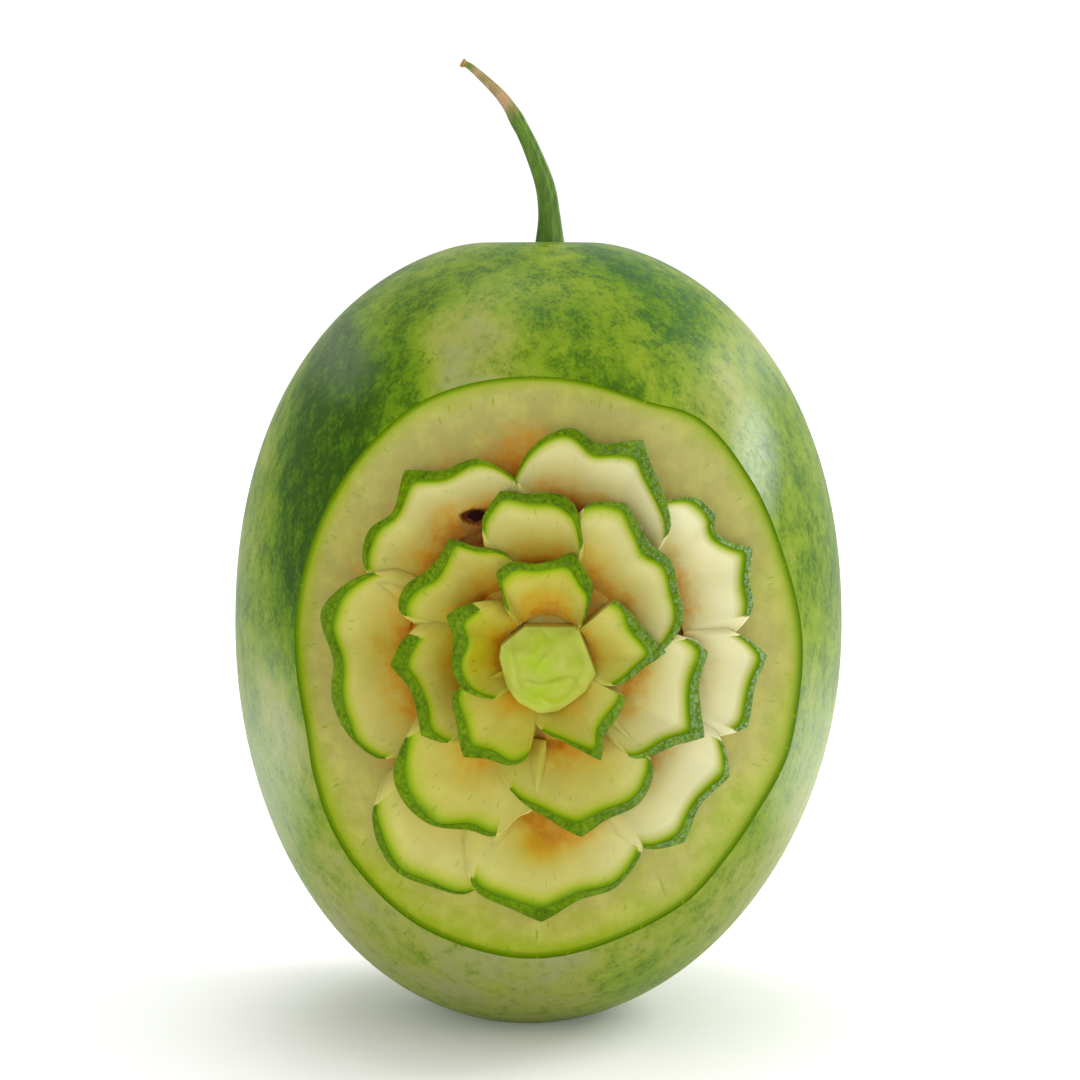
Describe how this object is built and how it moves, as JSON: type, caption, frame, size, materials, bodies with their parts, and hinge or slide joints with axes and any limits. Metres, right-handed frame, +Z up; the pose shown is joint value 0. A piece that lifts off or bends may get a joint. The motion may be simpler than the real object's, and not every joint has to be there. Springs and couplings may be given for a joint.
{
  "type": "carved watermelon",
  "caption": "Whole oval watermelon standing on end, its front carved into a layered flower of rind-edged petals round a bud, with a bent stalk on top.",
  "frame": {"origin": "centre of the flat spot the melon rests on", "axes": "+Z up the melon towards its stalk; the carved flower faces -Y"},
  "size_m": [0.1994, 0.1983, 0.3137],
  "materials": {
    "watermelon": "waxy mottled green rind; carved faces are moist pale yellow-green flesh turning orange in the grooves"
  },
  "bodies": {
    "root": {"carved_melon": "watermelon"}
  },
  "joints": []
}
